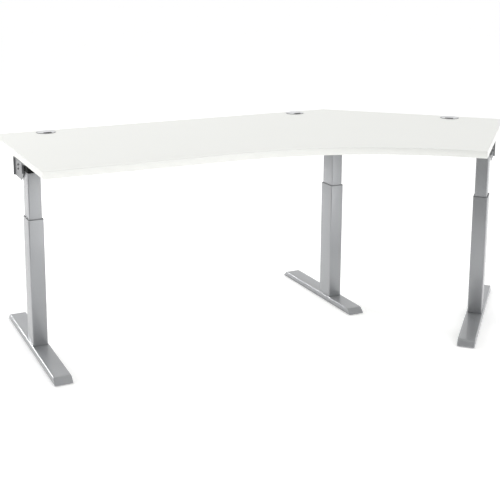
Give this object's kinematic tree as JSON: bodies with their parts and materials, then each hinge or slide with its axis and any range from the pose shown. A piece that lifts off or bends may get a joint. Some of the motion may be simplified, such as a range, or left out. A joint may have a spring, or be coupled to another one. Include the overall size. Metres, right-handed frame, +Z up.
{
  "type": "height adjustable standing desk",
  "caption": "Electric height-adjustable desk with an angled white top whose front edge is one long curve, on silver T-foot lifting columns",
  "frame": {"origin": "on the floor, under the middle of the bounding rectangle of the desk in plan", "axes": "+X to the right along the straight rear edge, +Y to the rear, +Z up"},
  "size_m": [2.2, 1.1656, 0.8153],
  "materials": {
    "white_board": "white melamine board, fine pearl grain",
    "white_band": "white edge band, satin",
    "silver_paint": "fine textured silver powder coat",
    "black_plastic": "matt black moulding",
    "grey_plastic": "satin light silver-grey moulding",
    "bracket_steel": "grey coated folded steel sheet",
    "dark_plastic": "dark grey moulding",
    "black_paint": "matt black powder coat",
    "nut_plastic": "natural engineering plastic, greased",
    "bright_steel": "bright zinc-plated steel"
  },
  "bodies": {
    "left_base": {"left_foot": "silver_paint", "left_outer_tube": "silver_paint", "left_guide_collar": "dark_plastic", "left_lift_nut": "nut_plastic", "left_glide_front": "black_plastic", "left_glide_rear": "black_plastic"},
    "top": {"tabletop": "white_board", "edge_band": "white_band", "main_beam": "silver_paint", "wing_beam": "silver_paint", "control_box": "black_plastic", "mains_inlet": "black_plastic", "handset": "black_plastic", "left_grommet_ring": "grey_plastic", "left_guide_shoe": "dark_plastic", "left_inner_tube": "silver_paint", "left_gear_housing": "black_plastic", "left_motor": "black_plastic", "left_head_bracket": "bracket_steel", "left_top_arm": "black_paint", "middle_grommet_ring": "grey_plastic", "middle_guide_shoe": "dark_plastic", "middle_inner_tube": "silver_paint", "middle_gear_housing": "black_plastic", "middle_motor": "black_plastic", "middle_head_bracket": "bracket_steel", "middle_top_arm": "black_paint", "right_grommet_ring": "grey_plastic", "right_guide_shoe": "dark_plastic", "right_inner_tube": "silver_paint", "right_gear_housing": "black_plastic", "right_motor": "black_plastic", "right_head_bracket": "bracket_steel", "right_top_arm": "black_paint", "left_bracket_screw_lower": "black_paint", "left_bracket_screw_upper": "black_paint", "right_bracket_screw_lower": "black_paint", "right_bracket_screw_upper": "black_paint"},
    "middle_base": {"middle_foot": "silver_paint", "middle_outer_tube": "silver_paint", "middle_guide_collar": "dark_plastic", "middle_lift_nut": "nut_plastic", "middle_glide_front": "black_plastic", "middle_glide_rear": "black_plastic"},
    "right_base": {"right_foot": "silver_paint", "right_outer_tube": "silver_paint", "right_guide_collar": "dark_plastic", "right_lift_nut": "nut_plastic", "right_glide_front": "black_plastic", "right_glide_rear": "black_plastic"},
    "left_screw": {"left_spindle": "bright_steel"},
    "middle_screw": {"middle_spindle": "bright_steel"},
    "right_screw": {"right_spindle": "bright_steel"},
    "left_lid": {"left_grommet_lid": "grey_plastic"},
    "middle_lid": {"middle_grommet_lid": "grey_plastic"},
    "right_lid": {"right_grommet_lid": "grey_plastic"},
    "down_key": {"button_down": "grey_plastic"},
    "up_key": {"button_up": "grey_plastic"}
  },
  "joints": [
    {"name": "lift", "type": "slide", "parent": "left_base", "child": "top", "axis": [0, 0, 1], "range_m": [-0.14, 0.26]},
    {"name": "middle_lift", "type": "slide", "parent": "top", "child": "middle_base", "axis": [0, 0, -1], "range_m": [-0.14, 0.26]},
    {"name": "right_lift", "type": "slide", "parent": "top", "child": "right_base", "axis": [0, 0, -1], "range_m": [-0.14, 0.26]},
    {"name": "left_spindle_turn", "type": "hinge", "parent": "top", "child": "left_screw", "pos_m": [-1.042, 0.18784, 0.5], "axis": [0, 0, 1], "continuous": true},
    {"name": "middle_spindle_turn", "type": "hinge", "parent": "top", "child": "middle_screw", "pos_m": [0.319, 0.18784, 0.5], "axis": [0, 0, 1], "continuous": true},
    {"name": "right_spindle_turn", "type": "hinge", "parent": "top", "child": "right_screw", "pos_m": [0.78675, -0.26252, 0.5], "axis": [0, 0, 1], "continuous": true},
    {"name": "left_lid_turn", "type": "hinge", "parent": "top", "child": "left_lid", "pos_m": [-0.892, 0.53284, 0.811], "axis": [0, 0, 1], "continuous": true},
    {"name": "middle_lid_turn", "type": "hinge", "parent": "top", "child": "middle_lid", "pos_m": [0.313, 0.53284, 0.811], "axis": [0, 0, 1], "continuous": true},
    {"name": "right_lid_turn", "type": "hinge", "parent": "top", "child": "right_lid", "pos_m": [0.89739, 0.11474, 0.811], "axis": [0, 0, 1], "continuous": true},
    {"name": "down_press", "type": "slide", "parent": "top", "child": "down_key", "axis": [0, 1, 0], "range_m": [0, 0.001], "stiffness_N_per_m": 400, "springref_m": -0.001},
    {"name": "up_press", "type": "slide", "parent": "top", "child": "up_key", "axis": [0, 1, 0], "range_m": [0, 0.001], "stiffness_N_per_m": 400, "springref_m": -0.001}
  ],
  "couplings": [
    {"joint": "middle_lift", "follows": "lift", "ratio": 1},
    {"joint": "right_lift", "follows": "lift", "ratio": 1},
    {"joint": "left_spindle_turn", "follows": "lift", "rad_per_m": 785.4},
    {"joint": "middle_spindle_turn", "follows": "lift", "rad_per_m": 785.4},
    {"joint": "right_spindle_turn", "follows": "lift", "rad_per_m": 785.4}
  ]
}
